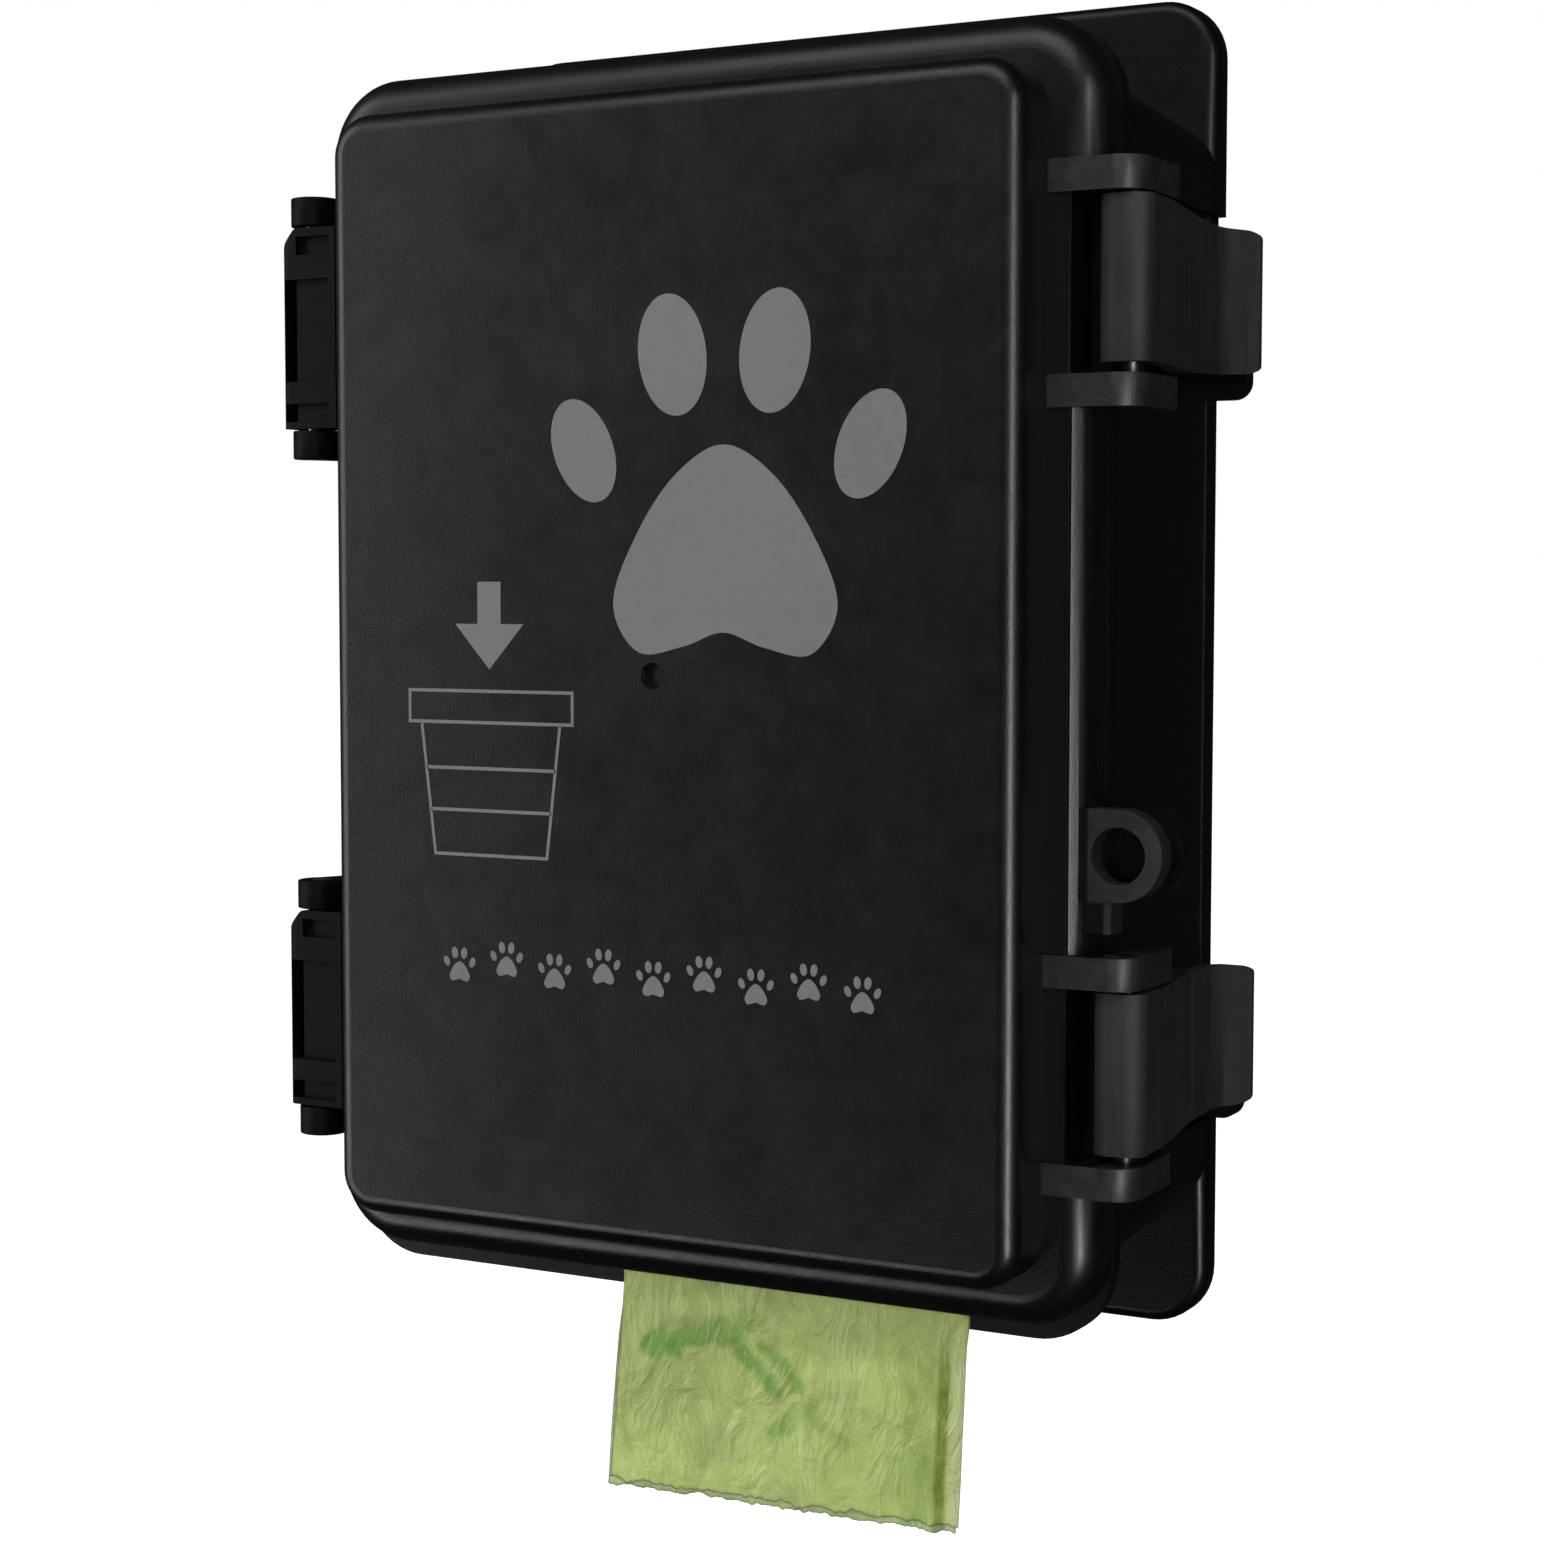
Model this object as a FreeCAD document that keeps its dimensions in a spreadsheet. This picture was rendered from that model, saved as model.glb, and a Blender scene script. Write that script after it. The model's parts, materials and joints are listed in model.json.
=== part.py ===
import FreeCAD, Part
import math
import os
import re

# Wall-mounted dispenser box for dog waste bags: a black moulded box with a hinged,
# latched door, a padlock eye, and a roll of bags inside whose end hangs out of a slot
# in the bottom of the door.
#
# Frame: millimetres, X to the right seen from the front, Y into the wall, Z up.
# The origin is the middle of the back plate, on the wall. Depths in the sheet are
# distances in front of the wall, so a depth d lies at Y = -d.

doc = FreeCAD.newDocument("bag_dispenser")
sheet = doc.addObject("Spreadsheet::Sheet", "Dims")

DIMENSIONS = {
    # door
    "panel_half_w": 63.4, "panel_half_h": 93.0, "panel_corner": 7.0, "panel_edge": 3.2,
    "rim_half_w": 72.0, "rim_half_h": 100.8, "rim_corner": 13.0, "rim_edge": 5.5,
    "skin": 2.5, "panel_depth": 70.7, "rim_depth": 60.5, "door_back": 52.4,
    "pillar_x": 69.8, "pillar_edge": 5.5, "recess_x": 67.2, "gate_r": 2.15, "gate_deep": 1.2,
    # door seal
    "seal_half_w": 65.8, "seal_half_h": 93.3, "seal_corner": 8.0, "seal_wide": 2.4,
    "seal_front": 53.0, "groove_floor": 50.9, "seal_gap": 0.1,
    # bag slot in the bottom of the door
    "slot_left": -24.0, "slot_right": 51.4, "slot_front": 55.2,
    # base
    "plate_half_h": 112.0, "plate_half_w": 68.6, "ear_half_w": 69.9, "ear_z": 76.0,
    "plate_corner": 10.0, "plate_thick": 5.0, "plate_edge": 2.0, "back_wall": 4.0,
    "frame_front": 52.2, "frame_back": 49.2, "lip": 3.2, "opening_half_w": 62.8,
    "opening_half_h": 84.5, "wall_front_w": 71.6, "wall_back_w": 69.6,
    "wall_front_h": 93.3, "wall_back_h": 91.3, "wall_corner": 9.0, "relief": 1.2,
    "cave_front_w": 67.4, "cave_back_w": 65.4, "cave_front_h": 89.3, "cave_back_h": 87.3,
    "bolt_x": 56.0, "bolt_z": 74.0, "bolt_hole_r": 2.75,
    # latches
    "latch_pin_x": 75.1, "latch_pin_depth": 55.6, "latch_pin_r": 1.8, "latch_low_z": -78.9,
    "latch_high_z": 41.3, "lug_thick": 5.0, "lug_pitch": 32.1, "lug_front": 61.2,
    "lug_back": 43.7, "lug_x": 78.4, "lug_round": 4.5, "lever_rise": 6.7, "lever_tall": 24.9, "barrel": 4.2,
    "lever_fit": 0.05, "pin_fit": 0.02, "catch_front": 33.7, "catch_back": 29.2,
    "catch_x": 72.3, "catch_drop": 1.0, "tab_x": 80.2, "tab_depth": 8.2, "tab_round": 5.0,
    "stop_front": 7.4, "stop_back": 4.0, "stop_x": 76.4, "stop_drop": 2.8,
    # padlock eye
    "eye_x": 74.8, "eye_z": -26.4, "eye_hole_r": 4.4, "eye_r": 7.1, "eye_front": 58.7,
    "eye_thick": 4.0, "base_eye_front": 50.7,
    # hinges
    "hinge_x": -78.8, "hinge_depth": 54.0, "hinge_pin_r": 1.8, "hinge_low_z": -83.5,
    "hinge_high_z": 36.5, "hinge_tall": 45.5, "knuckle_r": 4.2, "knuckle_tall": 5.0,
    "clip_gap": 0.3, "foot_front": 47.5, "foot_back": 34.0, "foot_x": -74.8,
    # roll of bags and its cradle
    "roll_x": 13.7, "roll_depth": 41.2, "roll_z": -25.0, "roll_r": 22.0, "roll_long": 66.0,
    "core_r": 9.0, "spindle_r": 6.0, "journal_r": 3.0, "cheek_gap": 73.0, "sheet_metal": 1.5,
    "cradle_tall": 50.0, "cheek_tall": 26.0, "cheek_depth": 48.7, "journal_long": 4.2,
    "cap_r": 5.0, "cap_long": 3.5,
    # inner plate and screws
    "post_depth": 7.5, "post_r": 4.5, "post_x": 44.0, "post_z": 60.0, "inner_half_w": 50.0,
    "inner_half_h": 67.0, "screw_r": 1.95, "screw_long": 5.0, "head_r": 3.6, "head_tall": 2.2,
    "cross_long": 4.0, "cross_wide": 0.8, "cross_deep": 1.1,
    # hanging end of the bags
    "film_thick": 0.8, "film_depth": 53.8, "film_bottom": -138.0,
    # how far cutting tools reach past the part
    "beyond": 95.0,
}


def fill_sheet():
    """Write every driving dimension in the sheet, its name beside it."""
    for row, (alias, value) in enumerate(DIMENSIONS.items(), start=1):
        sheet.set(f"A{row}", alias)
        sheet.set(f"B{row}", str(value))
        sheet.setAlias(f"B{row}", alias)
    doc.recompute()


def bound(text):
    """A sheet expression from a text that names dimensions."""
    return re.sub(r"[a-z][a-z_]+", lambda word: "Dims." + word.group(0), str(text))


def value(text):
    """The number that such a text stands for now."""
    filled = re.sub(r"[a-z][a-z_]+", lambda word: repr(DIMENSIONS[word.group(0)]), str(text))
    terms = FreeCAD.Units.Quantity(filled)
    return float(terms.Value)


def bind(thing, **texts):
    """Tie properties to the sheet; a double underscore stands for a dot."""
    for name, text in texts.items():
        thing.setExpression(name.replace("__", "."), bound(text))


# ---------------------------------------------------------------- building blocks

def block(name, left, right, front, back, low, high):
    """A box between two X values, two depths in front of the wall and two heights."""
    box = doc.addObject("Part::Box", name)
    bind(box, Length=f"({right}) - ({left})", Width=f"({front}) - ({back})",
         Height=f"({high}) - ({low})", Placement__Base__x=left,
         Placement__Base__y=f"-({front})", Placement__Base__z=low)
    return box


def bar(name, radius, length, across, depth, height, axis="Z"):
    """A round bar from a start point; it runs up, to the right, or away from the wall."""
    turn = {"Z": (0, 0, 1), "X": (1, 0, 0), "front": (0, -1, 0)}[axis]
    rod = doc.addObject("Part::Cylinder", name)
    rod.Placement.Rotation = FreeCAD.Rotation(FreeCAD.Vector(0, 0, 1), FreeCAD.Vector(*turn))
    bind(rod, Radius=radius, Height=length, Placement__Base__x=across,
         Placement__Base__y=f"-({depth})", Placement__Base__z=height)
    return rod


def wedge(name, front, back, front_box, back_box):
    """A block whose X and Z limits change from its front depth to its back depth."""
    solid = doc.addObject("Part::Wedge", name)
    names = ("Xmin", "Xmax", "Zmin", "Zmax")
    for prop, text in zip(names, front_box):
        solid.setExpression(prop, bound(text))
    for prop, text in zip(("X2min", "X2max", "Z2min", "Z2max"), back_box):
        solid.setExpression(prop, bound(text))
    bind(solid, Ymin=f"-({front})", Ymax=f"-({back})")
    return solid


def fuse(name, pieces):
    """One solid from several that overlap."""
    joined = doc.addObject("Part::MultiFuse", name)
    joined.Shapes = pieces
    joined.Refine = True
    return joined


def cut(name, stock, tools):
    """The stock with every tool taken away."""
    gone = tools[0] if len(tools) == 1 else fuse(name + "_tools", tools)
    result = doc.addObject("Part::Cut", name)
    result.Base = stock
    result.Tool = gone
    result.Refine = True
    return result


def common(name, first, second):
    """What two solids share."""
    result = doc.addObject("Part::Common", name)
    result.Base = first
    result.Tool = second
    return result


def rounded_loop(corners):
    """Lines and tangent arcs through (x, y, radius) corners, as one closed loop."""
    count = len(corners)
    points = [FreeCAD.Vector(value(x), value(y), 0) for x, y, _ in corners]
    entries, arcs = [], []
    for i in range(count):
        here, before, after = points[i], points[i - 1], points[(i + 1) % count]
        to_before = (before - here).normalize()
        to_after = (after - here).normalize()
        radius = value(corners[i][2])
        half = to_before.getAngle(to_after) / 2
        if radius <= 0:
            entries.append((here, here))
            continue
        reach = radius / math.tan(half)
        start, end = here + to_before * reach, here + to_after * reach
        middle = here + (to_before + to_after).normalize() * (radius / math.sin(half))
        entries.append((start, end))
        first = math.atan2(start.y - middle.y, start.x - middle.x)
        last = math.atan2(end.y - middle.y, end.x - middle.x)
        if to_before.cross(to_after).z > 0:
            first, last = last, first
        arcs.append(Part.ArcOfCircle(Part.Circle(middle, FreeCAD.Vector(0, 0, 1), radius),
                                     first, last))
    lines = []
    for i in range(count):
        leave, arrive = entries[i][1], entries[(i + 1) % count][0]
        if leave.distanceToPoint(arrive) > 1e-6:
            lines.append(Part.LineSegment(leave, arrive))
    return lines + arcs


def new_body(name):
    return doc.addObject("PartDesign::Body", name)


def sketch_on(body, name, role, offset, geometry):
    """A sketch on one of the body's own origin planes, lifted by the offset."""
    plane = next(f for f in body.Origin.OriginFeatures if f.Role == role)
    sketch = body.newObject("Sketcher::SketchObject", name)
    sketch.AttachmentSupport = [(plane, "")]
    sketch.MapMode = "FlatFace"
    sketch.setExpression("AttachmentOffset.Base.z", bound(offset))
    sketch.addGeometry(geometry, False)
    return sketch


def pad(name, role, corners, offset, length):
    """A body made by padding a rounded outline.

    On XZ_Plane the pad starts at a depth and grows away from the wall; on XY_Plane it
    starts at a height and grows upwards; on YZ_Plane it starts at an X and grows right.
    """
    body = new_body(name)
    outline = sketch_on(body, name + "_outline", role, offset, rounded_loop(corners))
    grown = body.newObject("PartDesign::Pad", name + "_pad")
    grown.Profile = outline
    grown.setExpression("Length", bound(length))
    doc.recompute()
    return body


def round_edges(body, radius, wanted):
    """Fillet the edges of a body's tip that the test picks."""
    tip = body.Tip
    names = [f"Edge{i}" for i, edge in enumerate(tip.Shape.Edges, start=1) if wanted(edge)]
    fillet = body.newObject("PartDesign::Fillet", body.Name + "_round")
    fillet.Base = (tip, names)
    fillet.setExpression("Radius", bound(radius))
    doc.recompute()
    return body


def at_depth(depth):
    """A test for edges that lie wholly at one depth."""
    level = -value(depth)
    return lambda edge: max(abs(edge.BoundBox.YMin - level), abs(edge.BoundBox.YMax - level)) < 1e-4


def rectangle(half_w, half_h, radius):
    """Corners of a rectangle centred on the origin."""
    return [(f"-({half_w})", f"-({half_h})", radius), (half_w, f"-({half_h})", radius),
            (half_w, half_h, radius), (f"-({half_w})", half_h, radius)]


def slab(name, half_w, half_h, radius, back, front):
    """A rounded rectangular slab between two depths."""
    return pad(name, "XZ_Plane", rectangle(half_w, half_h, radius), back,
               f"({front}) - ({back})")


def node(thing, label):
    """Mark an object as a finished sub-part; its label names its file."""
    thing.Label = label
    nodes.append(thing)
    return thing


nodes = []
fill_sheet()

LATCHES = {"upper": "latch_high_z", "lower": "latch_low_z"}
HINGES = {"upper": "hinge_high_z", "lower": "hinge_low_z"}


def seal_ring(name, back, front, spare):
    """The ring that the seal runs in, wider by the spare on each side."""
    half = f"seal_wide / 2 + {spare}"
    outer = slab(name + "_outer", f"seal_half_w + {half}", f"seal_half_h + {half}",
                 f"seal_corner + {half}", back, front)
    inner = slab(name + "_inner", f"seal_half_w - ({half})", f"seal_half_h - ({half})",
                 f"seal_corner - ({half})", f"({back}) - 1", f"({front}) + 1")
    return cut(name, outer, [inner])


# ---------------------------------------------------------------- base box

def base_wall_solid():
    """The four drafted walls as one solid, stepped back between the ears.

    On the left the step runs on past the ears, so that the hinge brackets lie in it.
    """
    walls = wedge("walls", "frame_back - 0.5", "back_wall",
                  ("-wall_front_w", "wall_front_w", "-wall_front_h", "wall_front_h"),
                  ("-wall_back_w", "wall_back_w", "-wall_back_h", "wall_back_h"))
    doc.recompute()
    long_edges = [i for i, edge in enumerate(walls.Shape.Edges, start=1)
                  if edge.BoundBox.YLength > 10]
    rounded = doc.addObject("Part::Fillet", "walls_rounded")
    rounded.Base = walls
    corner = value("wall_corner")
    rounded.Edges = [(i, corner, corner) for i in long_edges]
    steps = []
    for side, sign in (("left", "-1"), ("right", "1")):
        near = f"{sign} * (wall_front_w - relief)"
        deep = f"{sign} * (wall_back_w - relief)"
        far = f"{sign} * beyond"
        reach = "ear_z + 8.5" if side == "left" else "ear_z"
        front = (far, near) if side == "left" else (near, far)
        rear = (far, deep) if side == "left" else (deep, far)
        steps.append(wedge("relief_" + side, "frame_back - 0.5", "back_wall",
                           (*front, f"-({reach})", reach), (*rear, f"-({reach})", reach)))
    return cut("walls_relieved", rounded, steps)


def tab_stop(which, start):
    """Rounded flange on the wall behind a latch's finger tab."""
    outline = [("cave_front_w", f"{start} - stop_drop", 0), ("stop_x", f"{start} - stop_drop", 3),
               ("stop_x", f"{start} + lever_tall - 4", 3),
               ("cave_front_w", f"{start} + lever_tall - 4", 0)]
    return pad("stop_" + which, "XZ_Plane", outline, "stop_back", "stop_front - stop_back")


def base_box():
    """Back plate, walls, front frame, catches, padlock lug and posts, moulded in one."""
    stock = slab("plate_stock", "ear_half_w", "plate_half_h", "plate_corner", 0, "plate_thick")
    round_edges(stock, "plate_edge", at_depth("plate_thick"))
    waist = [block("waist_left", "-beyond", "-plate_half_w", "plate_thick + 1", -1, "-ear_z", "ear_z"),
             block("waist_right", "plate_half_w", "beyond", "plate_thick + 1", -1, "-ear_z", "ear_z")]
    plate = cut("plate", stock, waist)
    lip = [("-rim_half_w", "-rim_half_h - lip", "rim_corner"),
           ("rim_half_w", "-rim_half_h - lip", "rim_corner"),
           ("rim_half_w", "rim_half_h", "rim_corner"), ("-rim_half_w", "rim_half_h", "rim_corner")]
    frame = pad("frame", "XZ_Plane", lip, "frame_back", "frame_front - frame_back")
    notch = block("frame_notch", "wall_front_w - relief", "beyond", "beyond", "frame_back",
                  "latch_low_z - 0.6", "latch_high_z + lug_pitch + lug_thick + 0.6")
    pieces = [plate, base_wall_solid(), cut("frame_notched", frame, [notch])]
    for which, low in LATCHES.items():
        start = f"{low} + lever_rise"
        pieces.append(block("catch_" + which, "cave_front_w", "catch_x", "catch_front", "catch_back",
                            f"{start} - catch_drop", f"{start} + lever_tall - catch_drop"))
        pieces.append(tab_stop(which, start))
    pieces.append(bar("base_eye", "eye_r + 0.3", "eye_thick", "eye_x",
                      "base_eye_front - eye_thick", "eye_z", "front"))
    pieces.append(block("base_eye_root", "cave_front_w + 1", "eye_x", "base_eye_front",
                        "base_eye_front - eye_thick", "eye_z - eye_r - 0.3",
                        "eye_z + eye_r + 0.3"))
    shell = fuse("base_outside", pieces)
    hollow = wedge("cavity", "frame_back", "back_wall",
                   ("-cave_front_w", "cave_front_w", "-cave_front_h", "cave_front_h"),
                   ("-cave_back_w", "cave_back_w", "-cave_back_h", "cave_back_h"))
    opening = slab("opening", "opening_half_w", "opening_half_h", "wall_corner",
                   "frame_back - 1", "frame_front + 1")
    eye = bar("base_eye_hole", "eye_hole_r", "eye_thick + 6", "eye_x",
              "base_eye_front - eye_thick - 1", "eye_z", "front")
    groove = seal_ring("groove", "groove_floor", "frame_front + 1", 0)
    opened = cut("base_hollow", shell, [hollow, opening, eye, groove])
    posts, holes = [], []
    for i, (sx, sz) in enumerate(((-1, -1), (1, -1), (1, 1), (-1, 1)), start=1):
        x, z = f"{sx} * post_x", f"{sz} * post_z"
        posts.append(bar(f"post_{i}", "post_r", "post_depth - back_wall + 1", x,
                         "back_wall - 1", z, "front"))
        holes.append(bar(f"post_hole_{i}", "screw_r + pin_fit", "screw_long + 5", x,
                         "post_depth + sheet_metal - screw_long - 0.5", z, "front"))
        holes.append(bar(f"bolt_hole_{i}", "bolt_hole_r", "plate_thick + 7", f"{sx} * bolt_x", -2,
                         f"{sz} * bolt_z", "front"))
    return node(cut("base_box", fuse("base_with_posts", [opened] + posts), holes), "base_box")


def door_seal():
    """Rubber cord in the frame's groove, left out where the bags pass."""
    ring = seal_ring("seal", "groove_floor", "seal_front", -0.05)
    gap = block("seal_gap_at_slot", "slot_left - 1", "slot_right + 1", "seal_front + 1",
                "groove_floor - 1", "-rim_half_h", "-opening_half_h")
    return node(cut("door_seal", ring, [gap]), "door_seal")


# ---------------------------------------------------------------- door

def latch_lug(name, low):
    """Flat lug that holds one end of a latch pin and reaches back beside the base wall."""
    reach = [("panel_half_w - 1", "-lug_front", 0), ("lug_x", "-lug_front", "lug_round"),
             ("lug_x", "-lug_back", 1.6), ("latch_pin_x - 0.7", "-lug_back + 0.6", 0.8),
             ("wall_front_w + 1.6", "-door_back + 3.5", 1), ("wall_front_w + 1.4", "-door_back", 0.8),
             ("panel_half_w - 1", "-door_back", 0)]
    return pad(name, "XY_Plane", reach, low, "lug_thick")


def door_shell():
    """Raised panel, rim, side pillar, latch lugs and padlock lug, moulded in one."""
    panel = slab("panel", "panel_half_w", "panel_half_h", "panel_corner", "rim_depth - 1",
                 "panel_depth")
    round_edges(panel, "panel_edge", at_depth("panel_depth"))
    rim = slab("rim", "rim_half_w", "rim_half_h", "rim_corner", "door_back", "rim_depth")
    round_edges(rim, "rim_edge", at_depth("rim_depth"))
    top = "latch_high_z + lug_pitch"
    side = block("rim_notch", "recess_x", "beyond", "beyond", "door_back - 1", "latch_low_z",
                 f"{top} + lug_thick")
    pillar = pad("pillar", "XY_Plane",
                 [("panel_half_w - 1", "-rim_depth", 0), ("pillar_x", "-rim_depth", "pillar_edge"),
                  ("pillar_x", "-door_back", 0), ("panel_half_w - 1", "-door_back", 0)],
                 "latch_low_z + lug_pitch", "latch_high_z - latch_low_z - lug_pitch + lug_thick")
    pieces = [panel, cut("rim_notched", rim, [side]), pillar]
    bores = []
    for which, low in LATCHES.items():
        pieces.append(latch_lug(f"lug_{which}_bottom", low))
        pieces.append(latch_lug(f"lug_{which}_top", f"{low} + lug_pitch"))
        bores.append(bar(f"lug_bore_{which}", "latch_pin_r + pin_fit", "lug_pitch + lug_thick",
                         "latch_pin_x", "latch_pin_depth", low))
    eye_low = "eye_z - eye_r"
    pieces.append(bar("door_eye", "eye_r", "eye_thick", "eye_x", "eye_front - eye_thick", "eye_z",
                      "front"))
    pieces.append(block("door_eye_root", "recess_x", "eye_x", "eye_front", "eye_front - eye_thick",
                        eye_low, "eye_z + eye_r"))
    pieces.append(block("eye_rib", "recess_x", "eye_x - 1.2", "eye_front - 0.5", "door_back + 1.3",
                        f"{eye_low} - 5", f"{eye_low} + 0.5"))
    outside = fuse("door_outside", pieces)
    back = "door_back - 1"
    inner_w, inner_h = "seal_half_w - seal_wide / 2", "seal_half_h - seal_wide / 2"
    outer_w, outer_h = "seal_half_w + seal_wide / 2", "seal_half_h + seal_wide / 2"
    front = "rim_depth - skin"
    channel = cut("rim_channel",
                  slab("channel_outer", "rim_half_w - skin - 0.8", "rim_half_h - skin - 0.8",
                       "rim_corner - skin - 0.8", back, f"{front} - 0.8"),
                  [slab("channel_inner", outer_w, outer_h, "seal_corner + 1.2", "door_back - 3",
                        "rim_depth"),
                   block("channel_stop", "panel_half_w - 3", "beyond", "rim_depth", "door_back - 3",
                         "latch_low_z - skin", f"{top} + lug_thick + skin")])
    tools = [slab("panel_hollow", "panel_half_w - skin", "panel_half_h - skin",
                  "panel_corner - skin", back, "panel_depth - skin"),
             slab("rim_hollow", inner_w, inner_h, "seal_corner - 1.2", back, front), channel,
             seal_ring("seal_land", back, "seal_front + seal_gap", 0.02),
             block("slot_in_rib", "slot_left", "slot_right", front, back,
                   "-rim_half_h + skin - 0.1", "-seal_half_h + 2"),
             block("slot_in_skirt", "slot_left", "slot_right", "slot_front", back,
                   "-rim_half_h - 1", "-seal_half_h"),
             bar("eye_hole", "eye_hole_r", "eye_thick + 6", "eye_x", "eye_front - eye_thick - 1",
                 "eye_z", "front"),
             bar("gate_mark", "gate_r", "gate_deep + 1", 0, "panel_depth - gate_deep", 0, "front")]
    return node(cut("door_shell", outside, tools + bores), "door_shell")


# ---------------------------------------------------------------- hinges

def hinge_bracket(which, low):
    """Bracket on the base's left wall with an eye above and an eye below the clip."""
    draft = "(wall_front_w - wall_back_w) / (frame_back - 0.5 - back_wall)"
    at_front = f"-(wall_front_w - relief - (frame_back - 0.5 - foot_front) * {draft})"
    at_back = f"-(wall_front_w - relief - (frame_back - 0.5 - foot_back) * {draft})"
    foot = wedge(f"foot_{which}", "foot_front", "foot_back",
                 ("foot_x", at_front, low, f"{low} + hinge_tall"),
                 ("foot_x + 1.5", at_back, f"{low} + 2", f"{low} + hinge_tall - 2"))
    pieces = [foot]
    arm = [("hinge_x + knuckle_r", "-hinge_depth", 0), ("foot_x", "-foot_front", 0),
           ("foot_x + 1", "-foot_front + 6", 0), ("hinge_x + 1", "-foot_front + 5", 3),
           ("hinge_x - knuckle_r", "-hinge_depth", 0)]
    for end, start in (("bottom", low), ("top", f"{low} + hinge_tall - knuckle_tall")):
        pieces.append(pad(f"arm_{which}_{end}", "XY_Plane", arm, start, "knuckle_tall"))
        pieces.append(bar(f"eye_{which}_{end}", "knuckle_r", "knuckle_tall", "hinge_x",
                          "hinge_depth", start))
    bore = bar(f"hinge_bore_{which}", "hinge_pin_r + pin_fit", "hinge_tall", "hinge_x",
               "hinge_depth", low)
    return node(cut(f"hinge_bracket_{which}", fuse(f"bracket_solid_{which}", pieces), [bore]),
                f"hinge_bracket_{which}")


def hinge_clip(which, low):
    """Ribbed clip on the door's left edge that turns on the pin between the eyes."""
    start = f"{low} + knuckle_tall + clip_gap"
    tall = "hinge_tall - 2 * knuckle_tall - 2 * clip_gap"
    shape = [("-rim_half_w", "-door_back - 0.3", 0), ("hinge_x + 4.6", "-door_back - 0.3", 0),
             ("hinge_x + 4.6", "-hinge_depth + 4.6", 4.5), ("hinge_x - 5.2", "-hinge_depth + 4.6", 4),
             ("hinge_x - 5.2", "-hinge_depth - 3.6", 2), ("-rim_half_w", "-hinge_depth - 3.6", 0)]
    solid = pad(f"clip_plan_{which}", "XY_Plane", shape, start, tall)
    side = pad(f"clip_side_{which}", "XZ_Plane",
               [("-rim_half_w", start, 0), ("-rim_half_w", f"{start} + {tall}", 0),
                ("hinge_x - 2", f"{start} + {tall}", 1.5), ("hinge_x - 5.4", f"{start} + {tall} - 4", 2.5),
                ("hinge_x - 5.4", start, 0.8)], "hinge_depth - 10", 20)
    block_of = common(f"clip_block_{which}", solid, side)
    tools = []
    for i, (low_rib, high_rib) in enumerate(((1.2, 4.4), (8.2, 26.0), (30.2, 33.4))):
        below, above = f"{start} + {low_rib}", f"{start} + {high_rib}"
        tools.append(block(f"panel_{which}_{i}", "hinge_x - 4.3" if i < 2 else "hinge_x - 1.6",
                           "-rim_half_w - 1.4", "beyond", "hinge_depth + 2.4", below, above))
        if i < 2:
            tools.append(block(f"pocket_{which}_{i}", "hinge_x - 4.3", "hinge_x - 2.4", "beyond",
                               "hinge_depth - 0.5", below, above))
    tools.append(bar(f"clip_bore_{which}", "hinge_pin_r + lever_fit", "hinge_tall", "hinge_x",
                     "hinge_depth", low))
    return node(cut(f"hinge_clip_{which}", block_of, tools), f"hinge_clip_{which}")


def hinge_pin(which, low):
    """Steel pin through both eyes and the clip."""
    pin = bar(f"hinge_pin_{which}", "hinge_pin_r", "hinge_tall", "hinge_x", "hinge_depth", low)
    return node(pin, f"hinge_pin_{which}")


# ---------------------------------------------------------------- latches

def latch_lever(which, low):
    """S-shaped lever: a barrel on the pin, a hook behind the catch and a finger tab."""
    plan = [("latch_pin_x - barrel", "-latch_pin_depth - barrel", 2.5),
            ("latch_pin_x + barrel", "-latch_pin_depth - barrel", 3),
            ("latch_pin_x + 3.4", "-catch_front - 14", 9), ("catch_x + 3.2", "-catch_back + 1", 12),
            ("catch_x + 3", "-tab_depth - 8.8", 7), ("tab_x", "-tab_depth - 1.6", 1.2),
            ("tab_x - 2", "-tab_depth", 1.2), ("catch_x + 0.7", "-tab_depth - 7.3", 4.5),
            ("catch_x + 0.6", "-catch_back + 3.6", 1), ("catch_x - 2.4", "-catch_back + 2.9", 0.6),
            ("catch_x - 2.4", "-catch_back + 0.4", 0.4), ("catch_x + 0.6", "-catch_back + 0.4", 0),
            ("catch_x + 0.6", "-catch_front - 1", 3), ("latch_pin_x + 0.7", "-catch_front - 12.3", 8),
            ("latch_pin_x + 0.6", "-latch_pin_depth + 4", 1.5),
            ("latch_pin_x - barrel", "-latch_pin_depth + 4", 3)]
    start = f"{low} + lever_rise"
    body = pad(f"lever_plan_{which}", "XY_Plane", plan, start, "lever_tall")
    front, end = "-latch_pin_depth - 11", "-tab_depth"
    side = [(front, start, 0), ("-catch_front", start, 8), (end, f"{start} + 1", "tab_round"),
            (end, f"{start} + lever_tall - 1", "tab_round"), ("-catch_front", f"{start} + lever_tall", 8),
            (front, f"{start} + lever_tall", 0)]
    profile = pad(f"lever_side_{which}", "YZ_Plane", side, "latch_pin_x - 15", "barrel + 26")
    bore = bar(f"lever_bore_{which}", "latch_pin_r + lever_fit", "lug_pitch", "latch_pin_x",
               "latch_pin_depth", low)
    solid = common(f"lever_solid_{which}", body, profile)
    return node(cut(f"latch_lever_{which}", solid, [bore]), f"latch_lever_{which}")


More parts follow.
